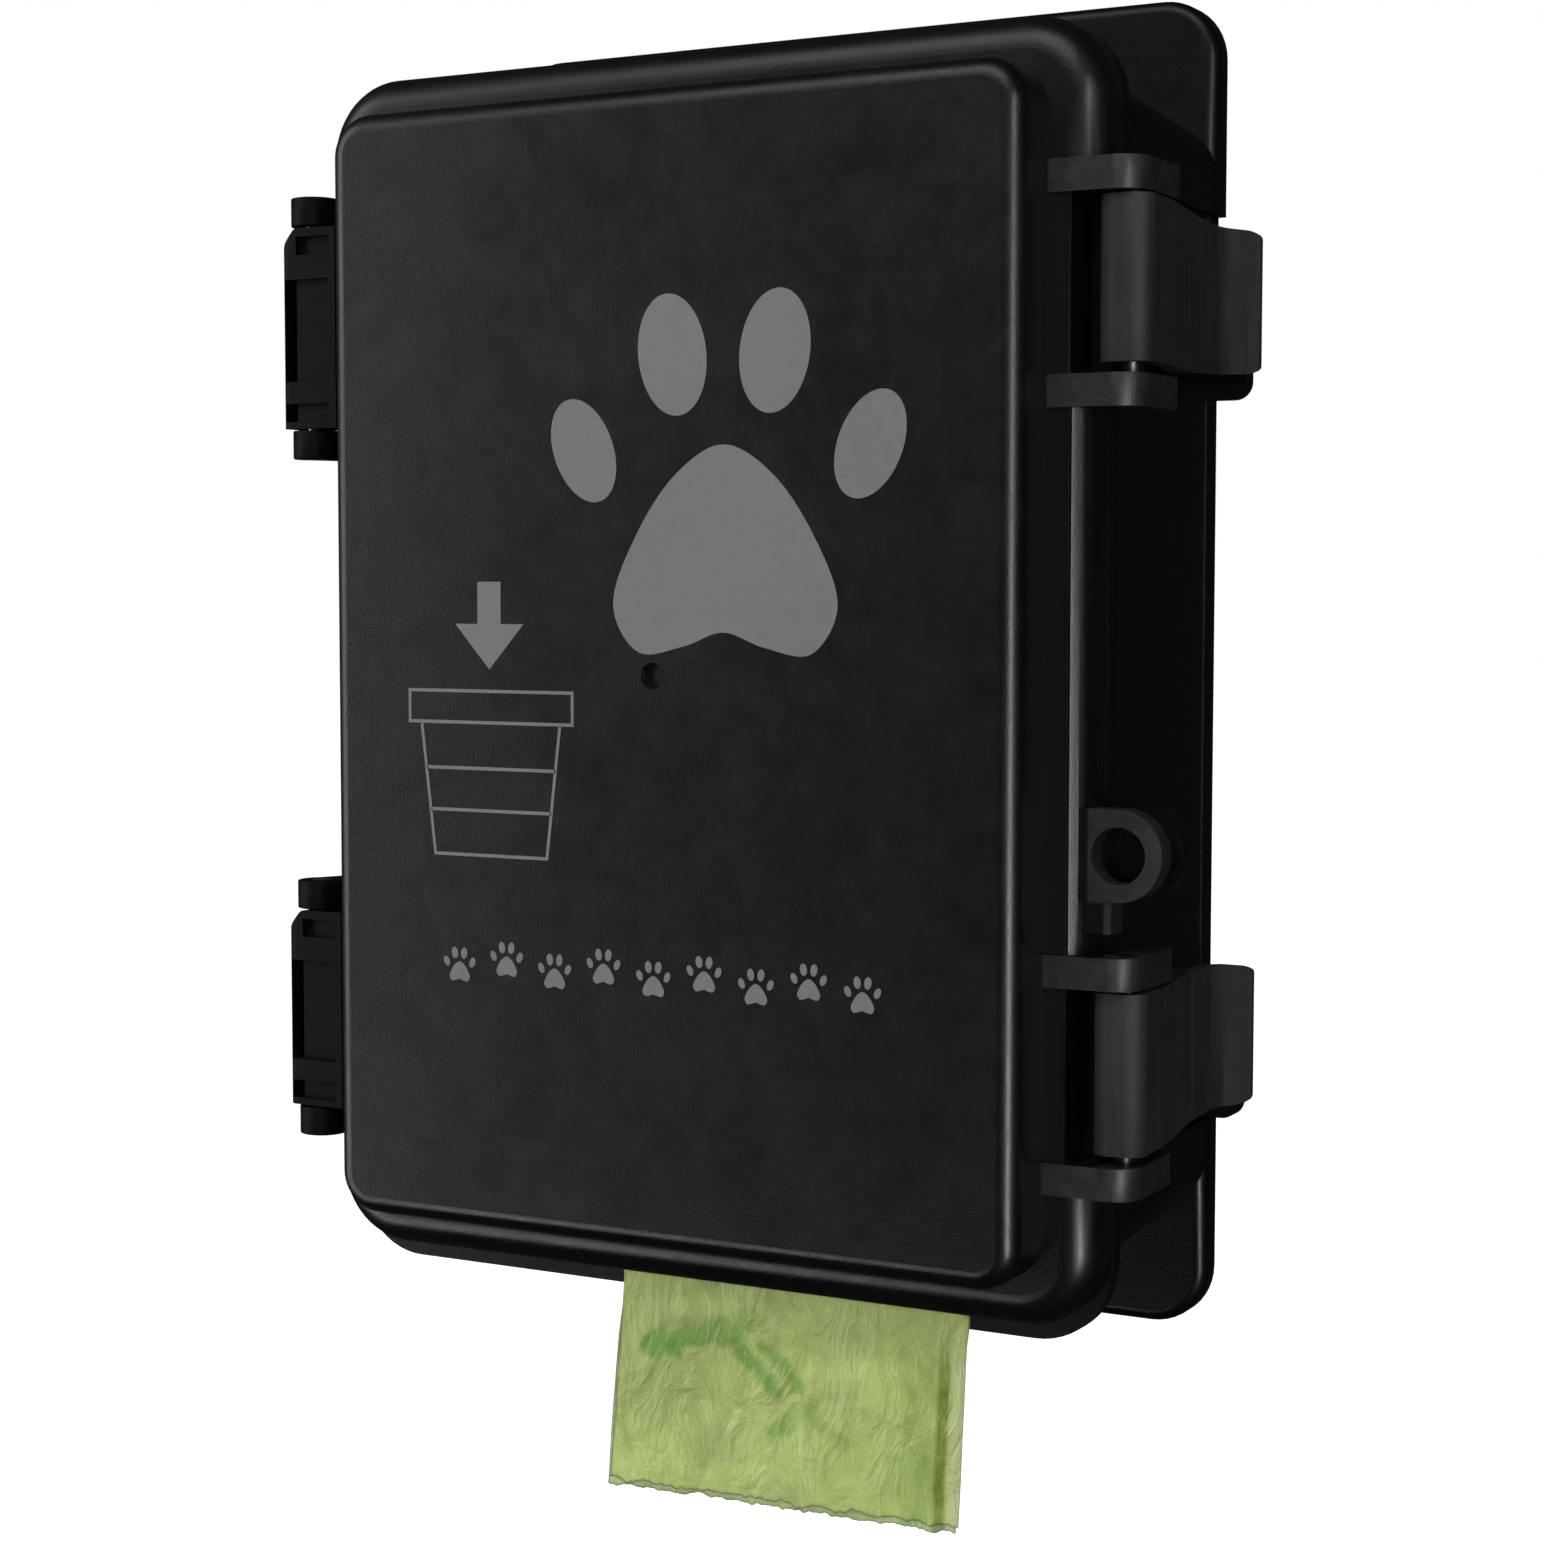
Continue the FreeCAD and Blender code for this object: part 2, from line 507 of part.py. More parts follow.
def latch_pin(which, low):
    """Steel pin through both lugs and the lever."""
    pin = bar(f"latch_pin_{which}", "latch_pin_r", "lug_pitch + lug_thick", "latch_pin_x",
              "latch_pin_depth", low)
    return node(pin, f"latch_pin_{which}")


# ---------------------------------------------------------------- inside

def screw(label, across, depth, height):
    """Pan-head screw: the shank starts at a depth and the head sits in front of it."""
    shank = bar(label + "_shank", "screw_r", "screw_long", across, f"{depth} - screw_long",
                height, "front")
    head = bar(label + "_head", "head_r", "head_tall", across, depth, height, "front")
    doc.recompute()
    dome = doc.addObject("Part::Fillet", label + "_dome")
    dome.Base = head
    crown = value(f"{depth} + head_tall")
    rim = [i for i, edge in enumerate(head.Shape.Edges, start=1)
           if edge.BoundBox.YLength < 0.1 and abs(edge.BoundBox.YMax + crown) < 0.1]
    dome.Edges = [(i, 1.4, 1.4) for i in rim]
    top, floor = f"{depth} + head_tall + 1", f"{depth} + head_tall - cross_deep"
    cross = []
    for i, (wide, tall) in enumerate((("cross_long", "cross_wide"), ("cross_wide", "cross_long"))):
        cross.append(block(f"{label}_cross_{i}", f"{across} - {wide} / 2", f"{across} + {wide} / 2",
                           top, floor, f"{height} - {tall} / 2", f"{height} + {tall} / 2"))
    return node(cut(label, fuse(label + "_solid", [shank, dome]), cross), label)


def inner_plate():
    """Steel plate on the four posts; it carries the roll cradle."""
    front = "post_depth + sheet_metal"
    stock = slab("inner_stock", "inner_half_w", "inner_half_h", 5, "post_depth", front)
    holes = []
    for i, (sx, sz) in enumerate(((-1, -1), (1, -1), (1, 1), (-1, 1)), start=1):
        holes.append(bar(f"inner_hole_{i}", "screw_r + 0.2", "sheet_metal + 2", f"{sx} * post_x",
                         "post_depth - 1", f"{sz} * post_z", "front"))
        screw(f"plate_screw_{i}", f"{sx} * post_x", front, f"{sz} * post_z")
    for i, sign in enumerate(("-", "+"), start=1):
        holes.append(bar(f"cradle_thread_{i}", "screw_r + pin_fit", "sheet_metal + 2", "roll_x",
                         "post_depth - 1", f"roll_z {sign} 20", "front"))
    return node(cut("inner_plate", stock, holes), "inner_plate")


def roll_cradle():
    """Bent steel cradle: a foot on the inner plate and two cheeks with open notches."""
    foot_back = "post_depth + sheet_metal"
    foot_front = f"{foot_back} + sheet_metal"
    left, right = "roll_x - cheek_gap / 2", "roll_x + cheek_gap / 2"
    pieces = [block("cradle_foot", f"{left} - sheet_metal", f"{right} + sheet_metal", foot_front,
                    foot_back, "roll_z - cradle_tall / 2", "roll_z + cradle_tall / 2")]
    cheek = [(f"-({foot_back})", "roll_z - cheek_tall / 2 - 6", 0), ("-cheek_depth", "roll_z - 7", 5),
             ("-cheek_depth", "roll_z + cheek_tall / 2", 4),
             (f"-({foot_back})", "roll_z + cheek_tall / 2 + 6", 0)]
    pieces.append(pad("cheek_left", "YZ_Plane", cheek, f"{left} - sheet_metal", "sheet_metal"))
    pieces.append(pad("cheek_right", "YZ_Plane", cheek, right, "sheet_metal"))
    room = "journal_r + lever_fit"
    tools = [bar("notch_round", room, "cheek_gap + 10", f"{left} - 5", "roll_depth", "roll_z", "X"),
             block("notch_way", f"{left} - 5", f"{right} + 5", f"roll_depth + {room}",
                   f"roll_depth - ({room})", "roll_z", "roll_z + cheek_tall")]
    for i, sign in enumerate(("-", "+"), start=1):
        tools.append(bar(f"cradle_hole_{i}", "screw_r + 0.2", "sheet_metal + 4", "roll_x",
                         "post_depth", f"roll_z {sign} 20", "front"))
        screw(f"cradle_screw_{i}", "roll_x", foot_front, f"roll_z {sign} 20")
    return node(cut("roll_cradle", fuse("cradle_solid", pieces), tools), "roll_cradle")


def spindle():
    """Round rod with a thinner journal at each end, and a cap on each journal."""
    left, right = "roll_x - cheek_gap / 2", "roll_x + cheek_gap / 2"
    middle = bar("spindle_middle", "spindle_r", "cheek_gap - 0.8", f"{left} + 0.4", "roll_depth",
                 "roll_z", "X")
    thin = bar("spindle_journal", "journal_r", "cheek_gap + 2 * sheet_metal + 2 * journal_long",
               f"{left} - sheet_metal - journal_long", "roll_depth", "roll_z", "X")
    node(fuse("spindle_rod", [middle, thin]), "spindle_rod")
    places = {"left": f"{left} - sheet_metal - 0.5 - cap_long",
              "right": f"{right} + sheet_metal + 0.5"}
    for side, start in places.items():
        cap = bar(f"cap_stock_{side}", "cap_r", "cap_long", start, "roll_depth", "roll_z", "X")
        hole = bar(f"cap_hole_{side}", "journal_r + pin_fit", "cap_long + 2", f"{start} - 1",
                   "roll_depth", "roll_z", "X")
        node(cut(f"spindle_cap_{side}", cap, [hole]), f"spindle_cap_{side}")


def roll_of_bags():
    """Card tube that turns on the spindle, and the bags wound on it."""
    start = "roll_x - roll_long / 2"
    core = bar("core_stock", "core_r", "roll_long", start, "roll_depth", "roll_z", "X")
    bore = bar("core_bore", "spindle_r + lever_fit", "roll_long + 2", f"{start} - 1", "roll_depth",
               "roll_z", "X")
    node(cut("roll_core", core, [bore]), "roll_core")
    wound = bar("wound_stock", "roll_r", "roll_long - 1", f"{start} + 0.5", "roll_depth", "roll_z",
                "X")
    inside = bar("wound_bore", "core_r + pin_fit", "roll_long + 2", f"{start} - 1", "roll_depth",
                 "roll_z", "X")
    node(cut("bag_roll", wound, [inside]), "bag_roll")


def bag_film():
    """The loose end: from the front of the roll, down through the slot, hanging free."""
    path = [("-(roll_depth + roll_r + 0.9)", "roll_z + 1", 0),
            ("-(roll_depth + roll_r + 0.9)", "roll_z - 33", 12), ("-film_depth - 2.5", -87, 12),
            ("-film_depth", -97, 12), ("-film_depth", "film_bottom", 0)]
    front = [(f"{across} - film_thick / 2", height, bend) for across, height, bend in path]
    rear = [(f"{across} + film_thick / 2", height, bend) for across, height, bend in path]
    return node(pad("bag_film", "YZ_Plane", front + rear[::-1], "roll_x - roll_long / 2",
                    "roll_long"), "bag_film")


base_box()
door_seal()
door_shell()
for place, low in HINGES.items():
    hinge_bracket(place, low)
    hinge_clip(place, low)
    hinge_pin(place, low)
for place, low in LATCHES.items():
    latch_lever(place, low)
    latch_pin(place, low)
inner_plate()
roll_cradle()
spindle()
roll_of_bags()
bag_film()

doc.recompute()
failed = [thing.Name for thing in doc.Objects if "Invalid" in thing.State or "Error" in thing.State]
if failed:
    raise RuntimeError("objects that did not build: " + ", ".join(failed))
os.makedirs("parts", exist_ok=True)
for thing in nodes:
    shape = thing.Shape
    if shape.isNull() or not shape.isValid() or len(shape.Solids) != 1:
        raise RuntimeError(f"{thing.Label}: {len(shape.Solids)} solids, valid {shape.isValid()}")
    shape.exportStep(f"parts/{thing.Label}.step")
    print(f"{thing.Label:24s} {shape.Volume / 1000:9.2f} cm3")
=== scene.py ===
import json
import math
import random

import bmesh
import bpy
from mathutils import Matrix, Vector, noise


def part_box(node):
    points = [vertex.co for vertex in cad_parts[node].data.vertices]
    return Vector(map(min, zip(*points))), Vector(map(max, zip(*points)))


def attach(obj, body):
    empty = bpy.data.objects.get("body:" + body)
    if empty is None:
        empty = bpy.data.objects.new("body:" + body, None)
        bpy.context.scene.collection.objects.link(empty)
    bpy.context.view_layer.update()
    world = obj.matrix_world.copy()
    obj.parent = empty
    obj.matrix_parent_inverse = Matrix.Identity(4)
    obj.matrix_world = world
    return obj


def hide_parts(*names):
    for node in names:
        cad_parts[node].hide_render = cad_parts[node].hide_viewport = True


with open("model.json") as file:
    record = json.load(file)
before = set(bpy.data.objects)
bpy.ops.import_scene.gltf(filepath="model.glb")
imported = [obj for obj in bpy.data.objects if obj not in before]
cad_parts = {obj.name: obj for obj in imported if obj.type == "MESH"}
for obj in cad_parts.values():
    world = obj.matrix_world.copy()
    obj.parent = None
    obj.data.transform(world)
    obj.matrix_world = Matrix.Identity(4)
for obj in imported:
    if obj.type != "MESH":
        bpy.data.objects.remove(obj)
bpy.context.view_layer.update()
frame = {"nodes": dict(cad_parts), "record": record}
nodes = frame["nodes"]
scene = bpy.context.scene

MM = 0.001
WHITE = (1, 1, 1, 1)

# ------------------------------------------------------------------ camera

CAMERA_AT = Vector((0.23611, -0.46468, 0.01521))
YAW, PITCH, ROLL = 28.55, -3.803, 0.037
FOCAL, SENSOR = 67.10, 36.0


def make_camera():
    """The camera at the viewing angle of the picture: right of the front, nearly level."""
    data = bpy.data.cameras.new("camera")
    data.lens, data.sensor_width, data.clip_start = FOCAL, SENSOR, 0.01
    camera = bpy.data.objects.new("camera", data)
    scene.collection.objects.link(camera)
    turn = Matrix.Rotation(math.radians(YAW), 4, "Z")
    tilt = Matrix.Rotation(math.radians(90 + PITCH), 4, "X")
    roll = Matrix.Rotation(math.radians(ROLL), 4, "Z")
    camera.matrix_world = Matrix.Translation(CAMERA_AT) @ turn @ tilt @ roll
    scene.camera = camera


make_camera()
scene.view_settings.view_transform = "Standard"
scene.view_settings.look = "None"


# ------------------------------------------------------------------ light

def area_light(name, at, towards, width, height, watts):
    """A soft rectangular light at a point, facing another."""
    data = bpy.data.lights.new(name, "AREA")
    data.shape, data.size, data.size_y, data.energy = "RECTANGLE", width, height, watts
    light = bpy.data.objects.new(name, data)
    scene.collection.objects.link(light)
    facing = (Vector(towards) - Vector(at)).to_track_quat("-Z", "Y")
    light.matrix_world = Matrix.Translation(at) @ facing.to_matrix().to_4x4()
    return light


# Strength of the studio's walls where they light the object, and in its reflections.
ROOM_LIGHT, ROOM_REFLECTED = 0.13, 0.02


def make_world():
    """White behind the object, and a dim even room in its reflections."""
    world = bpy.data.worlds.new("studio")
    world.use_nodes = True
    scene.world = world
    tree = world.node_tree
    tree.nodes.clear()
    out = tree.nodes.new("ShaderNodeOutputWorld")
    seen, room = (tree.nodes.new("ShaderNodeBackground") for _ in range(2))
    seen.inputs["Color"].default_value = WHITE
    room.inputs["Color"].default_value = WHITE
    path = tree.nodes.new("ShaderNodeLightPath")
    mix = tree.nodes.new("ShaderNodeMixShader")
    strength = tree.nodes.new("ShaderNodeMapRange")
    strength.inputs["To Min"].default_value = ROOM_LIGHT
    strength.inputs["To Max"].default_value = ROOM_REFLECTED
    tree.links.new(path.outputs["Is Glossy Ray"], strength.inputs["Value"])
    tree.links.new(strength.outputs["Result"], room.inputs["Strength"])
    tree.links.new(path.outputs["Is Camera Ray"], mix.inputs["Fac"])
    tree.links.new(room.outputs[0], mix.inputs[1])
    tree.links.new(seen.outputs[0], mix.inputs[2])
    tree.links.new(mix.outputs[0], out.inputs["Surface"])


make_world()
# The key and the high light both light the object and show in its gloss. The two strips and the
# low light show in the gloss only, and the fill doesn't show in it at all.
area_light("key_left", (-0.98, -0.62, 0.06), (0, -0.05, 0), 0.45, 1.5, 7.4)
area_light("high_front", (-0.1, -0.95, 1.05), (0, -0.05, 0), 1.3, 0.8, 7.5)
for name, at, tall, watts in (("strip_right", (0.98, -0.95, -0.06), 1.0, 9.0),
                              ("strip_low", (0.98, -0.95, -0.44), 0.22, 9.0)):
    strip = area_light(name, at, (0.05, -0.05, -0.02), 0.14, tall, watts)
    strip.visible_diffuse = False
glow = area_light("low_left", (-0.55, -0.8, -0.62), (0, -0.06, -0.05), 0.6, 0.2, 2.2)
glow.visible_diffuse = False
fill = area_light("fill", (0.35, -1.2, 0.15), (0, -0.05, 0), 0.6, 0.6, 4.2)
fill.visible_glossy = False


# ------------------------------------------------------------------ shader helpers

BOX_BLUR = 0.2      # half the soft border of Shader.boxes, in millimetres


class Shader:
    """A node material built from a Principled shader and named procedural layers."""

    def __init__(self, name):
        self.material = bpy.data.materials.new(name)
        self.material.use_nodes = True
        self.tree = self.material.node_tree
        self.main = self.tree.nodes["Principled BSDF"]
        self.place = self.tree.nodes.new("ShaderNodeTexCoord").outputs["Object"]

    def set(self, **values):
        """Fixed values of the Principled shader's inputs, by name."""
        for socket, number in values.items():
            self.main.inputs[socket.replace("_", " ")].default_value = number

    def link(self, output, socket):
        """Drive one of the Principled shader's inputs."""
        self.tree.links.new(output, self.main.inputs[socket])

    def spread(self, scale=(1, 1, 1), turn=(0, 0, 0)):
        """Object coordinates stretched and turned."""
        mapping = self.tree.nodes.new("ShaderNodeMapping")
        mapping.inputs["Scale"].default_value = scale
        mapping.inputs["Rotation"].default_value = turn
        self.tree.links.new(self.place, mapping.inputs["Vector"])
        return mapping.outputs["Vector"]

    def noise(self, scale, detail=3.0, rough=0.5, bend=0.0, place=None):
        """Cloudy noise in the object's own metres, or in the coordinates given."""
        node = self.tree.nodes.new("ShaderNodeTexNoise")
        node.inputs["Scale"].default_value = scale
        node.inputs["Detail"].default_value = detail
        node.inputs["Roughness"].default_value = rough
        node.inputs["Distortion"].default_value = bend
        self.tree.links.new(place or self.place, node.inputs["Vector"])
        return node.outputs["Fac"]

    def cells(self, scale):
        """Distance from the middle of the nearest cell."""
        node = self.tree.nodes.new("ShaderNodeTexVoronoi")
        node.inputs["Scale"].default_value = scale
        self.tree.links.new(self.place, node.inputs["Vector"])
        return node.outputs["Distance"]

    def lines(self, scale, axis, bend):
        """Even bands across an axis, a little bent."""
        node = self.tree.nodes.new("ShaderNodeTexWave")
        node.bands_direction = axis
        node.inputs["Scale"].default_value = scale
        node.inputs["Distortion"].default_value = bend
        self.tree.links.new(self.place, node.inputs["Vector"])
        return node.outputs["Fac"]

    def ramp(self, value, stops):
        """Colours by position; each stop is (place, colour)."""
        node = self.tree.nodes.new("ShaderNodeValToRGB")
        ramp = node.color_ramp
        while len(ramp.elements) < len(stops):
            ramp.elements.new(0.5)
        for element, (place, tint) in zip(ramp.elements, stops):
            element.position = place
            element.color = (*tint, 1)
        self.tree.links.new(value, node.inputs["Fac"])
        return node.outputs["Color"]

    def maths(self, kind, first, second):
        """Combine two values; each is a socket or a number."""
        node = self.tree.nodes.new("ShaderNodeMath")
        node.operation = kind
        for socket, thing in zip(node.inputs, (first, second)):
            if isinstance(thing, (int, float)):
                socket.default_value = thing
            else:
                self.tree.links.new(thing, socket)
        return node.outputs[0]

    def span(self, value, low, high, to_low, to_high):
        """Stretch the range low to high onto another, and hold it at the ends."""
        node = self.tree.nodes.new("ShaderNodeMapRange")
        for name, number in (("From Min", low), ("From Max", high), ("To Min", to_low),
                             ("To Max", to_high)):
            node.inputs[name].default_value = number
        self.tree.links.new(value, node.inputs["Value"])
        return node.outputs["Result"]

    def blend(self, factor, first, second):
        """Mix two colours; each is a socket or an (r, g, b)."""
        node = self.tree.nodes.new("ShaderNodeMix")
        node.data_type = "RGBA"
        for socket, thing in ((node.inputs[0], factor), (node.inputs[6], first),
                              (node.inputs[7], second)):
            if isinstance(thing, (int, float)):
                socket.default_value = thing
            elif isinstance(thing, tuple):
                socket.default_value = (*thing, 1)
            else:
                self.tree.links.new(thing, socket)
        return node.outputs[2]

    def painted(self, name):
        """A value that the mesh carries at its points."""
        node = self.tree.nodes.new("ShaderNodeAttribute")
        node.attribute_name = name
        return node.outputs["Fac"]

    def boxes(self, wanted):
        """1 inside any of the boxes, each a list of (low, high) millimetres by axis."""
        total = 0.0
        for box in wanted:
            inside = 1.0
            for index, (low, high) in enumerate(box):
                for edge, ends in ((low, (0, 1)), (high, (1, 0))):
                    if edge is not None:
                        part = self.span(self.axis(index), (edge - BOX_BLUR) * MM,
                                         (edge + BOX_BLUR) * MM, *ends)
                        inside = self.maths("MULTIPLY", inside, part)
            total = self.maths("MAXIMUM", total, inside)
        return total

    def axis(self, index):
        """The object's own X, Y or Z."""
        split = self.tree.nodes.new("ShaderNodeSeparateXYZ")
        self.tree.links.new(self.place, split.inputs[0])
        return split.outputs[index]

    def bump(self, height, strength, distance):
        """Fine relief that is too small for geometry."""
        node = self.tree.nodes.new("ShaderNodeBump")
        node.inputs["Strength"].default_value = strength
        node.inputs["Distance"].default_value = distance
        self.tree.links.new(height, node.inputs["Height"])
        self.link(node.outputs["Normal"], "Normal")
        return self


# ------------------------------------------------------------------ materials

def moulding(name, dark, light, smooth, coarse, specular=0.5, pale_sheen_boxes=()):
    """Satin moulded plastic: fine spark-eroded grain, faint flow marks, soft rub marks.

    In the boxes given as pale_sheen_boxes it is duller and a lighter mottled grey: partly paler plastic,
    partly a painted highlight.
    """
    shader = Shader(name)
    cloud = shader.noise(28, 4, 0.6, 0.3)
    speck = shader.noise(2600, 2, 0.6)
    tone = shader.blend(shader.span(cloud, 0.35, 0.68, 0, 1), dark, light)
    rub = shader.noise(150, 5, 0.65, 0.8)
    shine = shader.maths("ADD", shader.span(cloud, 0.3, 0.7, smooth, coarse),
                         shader.span(rub, 0.35, 0.75, -0.03, 0.05))
    # Painted lighter grey in the given boxes: partly paler plastic, partly a painted highlight on the lug
    # fronts and padlock eye.
    if pale_sheen_boxes:
        lighten = shader.boxes(pale_sheen_boxes)
        grey_mottle = shader.noise(330, 4, 0.7, 0.5)
        grey = shader.blend(shader.span(grey_mottle, 0.35, 0.7, 0, 1), (0.018, 0.018, 0.0185),
                            (0.036, 0.036, 0.0365))
        tone = shader.blend(lighten, tone, grey)
        shine = shader.maths("ADD", shine, shader.maths("MULTIPLY", lighten, 0.1))
    shader.link(tone, "Base Color")
    shader.link(shine, "Roughness")
    height = shader.maths("ADD", shader.span(speck, 0.2, 0.8, 0, 1),
                          shader.span(shader.cells(1500), 0, 0.6, 0, 0.5))
    shader.set(IOR=1.5, Specular_IOR_Level=specular)
    return shader.bump(height, 0.2, 0.00008).material


def lever_plastic():
    """Softer, greyer nylon of the latch levers, with its mould's faint vertical drag."""
    shader = Shader("lever_nylon")
    cloud = shader.noise(60, 4, 0.6, 0.4)
    drag = shader.noise(420, 3, 0.6, 0.2, shader.spread((1, 1, 0.08)))
    mottle = shader.maths("MULTIPLY", cloud, drag)
    shader.link(shader.blend(shader.span(mottle, 0.15, 0.4, 0, 1), (0.026, 0.026, 0.0265),
                             (0.046, 0.046, 0.047)), "Base Color")
    shader.link(shader.span(drag, 0.3, 0.7, 0.58, 0.7), "Roughness")
    height = shader.maths("ADD", drag, shader.span(shader.noise(2400, 2), 0.2, 0.8, 0, 0.6))
    shader.set(IOR=1.5, Specular_IOR_Level=0.35)
    return shader.bump(height, 0.22, 0.00008).material


def metal(name, tint, smooth, coarse, stretch):
    """Turned or rolled metal with fine marks along one direction."""
    shader = Shader(name)
    marks = shader.noise(900, 4, 0.7, 0, shader.spread(stretch))
    cloud = shader.noise(90, 3, 0.6)
    darker = tuple(0.72 * channel for channel in tint)
    shader.link(shader.blend(shader.span(cloud, 0.3, 0.7, 0, 1), darker, tint), "Base Color")
    shader.link(shader.span(marks, 0.25, 0.75, smooth, coarse), "Roughness")
    shader.set(Metallic=1.0)
    return shader.bump(marks, 0.15, 0.00004).material


def zinc():
    """Zinc plating: faint spangle cells with a slightly iridescent yellow-blue cast."""
    shader = Shader("zinc_plate")
    cell = shader.cells(260)
    cloud = shader.noise(40, 3, 0.6, 0.5)
    cast = shader.blend(shader.span(cloud, 0.35, 0.65, 0, 1), (0.62, 0.63, 0.66), (0.66, 0.63, 0.55))
    shader.link(shader.blend(shader.span(cell, 0.1, 0.8, 0, 0.35), cast, (0.45, 0.46, 0.48)),
                "Base Color")
    shader.link(shader.span(cell, 0.1, 0.8, 0.26, 0.4), "Roughness")
    shader.set(Metallic=1.0)
    return shader.bump(shader.noise(1500, 3), 0.12, 0.00004).material


def rubber():
    """Matt foamed rubber with open pores."""
    shader = Shader("seal_foam")
    pores = shader.cells(1900)
    shader.link(shader.blend(shader.span(pores, 0.05, 0.4, 0, 1), (0.008, 0.008, 0.008),
                             (0.028, 0.028, 0.028)), "Base Color")
    shader.link(shader.span(shader.noise(300), 0.3, 0.7, 0.78, 0.92), "Roughness")
    return shader.bump(pores, 0.5, 0.00015).material


def nylon():
    """Natural nylon rod, slightly waxy, with turning marks round it."""
    shader = Shader("natural_nylon")
    rings = shader.lines(420, "X", 0.6)
    cloud = shader.noise(70, 3)
    shader.link(shader.blend(shader.span(cloud, 0.3, 0.7, 0, 1), (0.66, 0.65, 0.6),
                             (0.8, 0.79, 0.75)), "Base Color")
    shader.link(shader.span(rings, 0, 1, 0.36, 0.48), "Roughness")
    shader.set(Subsurface_Weight=0.1, Subsurface_Scale=0.002)
    return shader.bump(rings, 0.1, 0.00005).material


def card():
    """Grey-brown wound card with fibres and the step of each turn of the spiral."""
    shader = Shader("wound_card")
    fibre = shader.noise(900, 5, 0.7, 0, shader.spread((0.25, 1, 1), (0.5, 0, 0)))
    spiral = shader.lines(16, "DIAGONAL", 0.2)
    tone = shader.maths("ADD", shader.span(fibre, 0.3, 0.7, 0, 0.8),
                        shader.span(spiral, 0.86, 1, 0, 0.6))
    shader.link(shader.blend(tone, (0.36, 0.25, 0.15), (0.54, 0.41, 0.27)), "Base Color")
    shader.link(shader.span(fibre, 0.3, 0.7, 0.78, 0.92), "Roughness")
    return shader.bump(tone, 0.3, 0.00012).material


def film(name, tint, deep, alpha):
    """Thin cloudy green polyethylene: soft mottling, doubled folds, a seam near one edge."""
    shader = Shader(name)
    broad = shader.noise(55, 3, 0.55, 0.9, shader.spread((1, 1, 1.3), (0, 0.5, 0)))
    fine = shader.noise(190, 5, 0.6, 1.2)
    crease = shader.noise(75, 5, 0.6, 1.8, shader.spread((1.5, 1, 0.8), (0, -0.6, 0)))
    tone = shader.ramp(broad, [(0.36, tuple(0.82 * c for c in tint)), (0.5, tint),
                               (0.62, tuple(min(1, 1.1 * c) for c in tint))])
    tone = shader.blend(shader.span(fine, 0.5, 0.75, 0, 0.35), tone,
                        tuple(0.45 * a + 0.55 * b for a, b in zip(deep, tint)))
    tone = shader.blend(shader.span(crease, 0.6, 0.68, 0, 0.3), tone,
                        tuple(min(1, 1.35 * c) for c in tint))
    veins = shader.span(shader.noise(120, 4, 0.6, 1.5), 0.3, 0.62, 0.55, 1)
    tone = shader.blend(shader.maths("MULTIPLY", shader.painted("fold"), veins), tone, deep)
    tone = shader.blend(shader.painted("pale"), tone, (0.66, 0.7, 0.42))
    tone = shader.blend(shader.maths("MULTIPLY", shader.painted("seam"), veins), tone,
                        (0.16, 0.24, 0.004))
    tone = shader.blend(shader.painted("edge"), tone, (0.03, 0.05, 0.015))
    shader.link(tone, "Base Color")
    shader.link(shader.span(fine, 0.3, 0.7, 0.28, 0.44), "Roughness")
    shader.set(Alpha=alpha, IOR=1.5)
    height = shader.maths("ADD", shader.span(crease, 0.4, 0.66, 0, 1),
                          shader.span(fine, 0.3, 0.7, 0, 0.5))
    return shader.bump(height, 0.6, 0.0006).material


def wound_film():
    """The side of the roll: folded film, its layers showing as fine rings and streaks."""
    shader = Shader("wound_film")
    layers = shader.noise(500, 4, 0.7, 0.4, shader.spread((0.1, 1, 1)))
    cloud = shader.noise(45, 4, 0.6, 1.2)
    mixed = shader.maths("MULTIPLY", layers, cloud)
    shader.link(shader.blend(shader.span(mixed, 0.12, 0.4, 0, 1), (0.11, 0.23, 0.03),
                             (0.29, 0.42, 0.1)), "Base Color")
    shader.link(shader.span(cloud, 0.3, 0.7, 0.24, 0.42), "Roughness")
    return shader.bump(mixed, 0.5, 0.0004).material


def ink():
    """Grey pad-printed ink, slightly uneven, with a fine dry texture."""
    shader = Shader("printed_ink")
    cover = shader.noise(700, 4, 0.7)
    broad = shader.noise(30, 3, 0.5)
    lighten = shader.maths("ADD", shader.span(cover, 0.3, 0.7, 0, 0.6),
                        shader.span(broad, 0.3, 0.7, 0, 0.4))
    shader.link(shader.blend(lighten, (0.165, 0.165, 0.166), (0.2, 0.2, 0.201)), "Base Color")
    shader.link(shader.span(cover, 0.3, 0.7, 0.52, 0.64), "Roughness")
    return shader.bump(cover, 0.12, 0.00003).material
